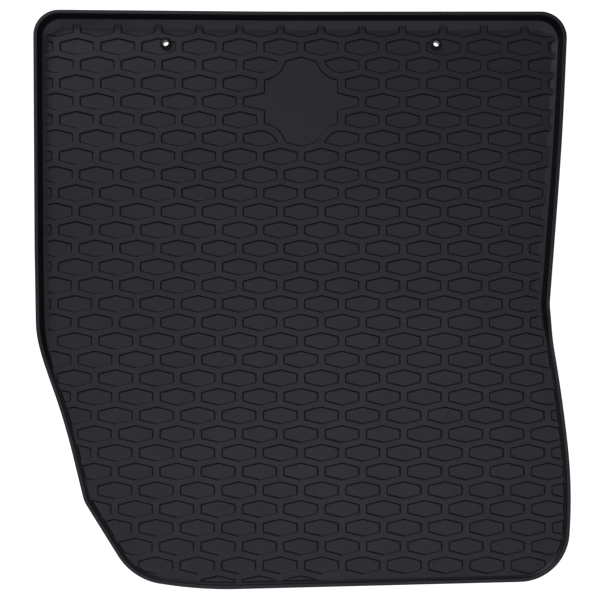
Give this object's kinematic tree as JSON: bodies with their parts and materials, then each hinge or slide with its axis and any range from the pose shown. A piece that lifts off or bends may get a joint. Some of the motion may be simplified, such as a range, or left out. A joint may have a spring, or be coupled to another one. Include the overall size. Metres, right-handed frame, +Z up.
{
  "type": "rubber footwell mat",
  "caption": "Moulded rubber footwell mat with a raised rim, a sloped inner skirt, a recessed honeycomb tread with a plain panel, and two open fixing eyelets.",
  "frame": {"origin": "on the ground plane under the mat, at the middle of the box round its outline, to within 0.4 mm", "axes": "+Z up, out of the tread; +Y along the length, from the end with the low rim to the straight end with the fixing eyelets; +X to the right when the tread is seen from above with +Y away from the viewer"},
  "size_m": [0.6237, 0.6708, 0.02],
  "materials": {
    "mat_rubber": "satin moulded rubber with a fine even grain",
    "eyelet_plastic": "satin black moulded plastic"
  },
  "bodies": {
    "root": {"mat_moulding": "mat_rubber", "eyelet_left": "eyelet_plastic", "eyelet_right": "eyelet_plastic", "lock_ring_left": "eyelet_plastic", "lock_ring_right": "eyelet_plastic"}
  },
  "joints": []
}
